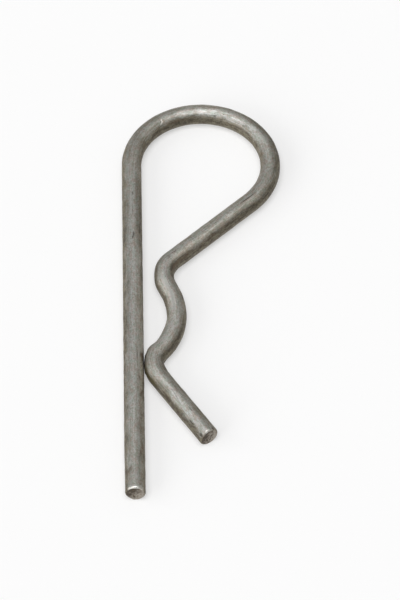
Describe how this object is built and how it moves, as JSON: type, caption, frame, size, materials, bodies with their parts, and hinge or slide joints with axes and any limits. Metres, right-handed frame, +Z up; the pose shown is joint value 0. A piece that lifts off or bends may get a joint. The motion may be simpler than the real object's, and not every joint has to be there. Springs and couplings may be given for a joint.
{
  "type": "hitch r clip",
  "caption": "Spring-wire hitch R clip: a straight leg goes through a cross hole in a shaft, a waved arm snaps round the shaft, and a round loop is the finger pull.",
  "frame": {"origin": "middle of the clip's outline in X and Y, on the flat surface that the clip lies on", "axes": "+Y along the straight leg from its cut end towards the loop, +X from the leg towards the waved arm, +Z up out of the plane of the wire"},
  "size_m": [0.0324, 0.0992, 0.004],
  "materials": {
    "wire": "dull satin grey spring steel with fine draw lines along the wire and brownish mottling"
  },
  "bodies": {
    "root": {"clip_wire": "wire"}
  },
  "joints": []
}
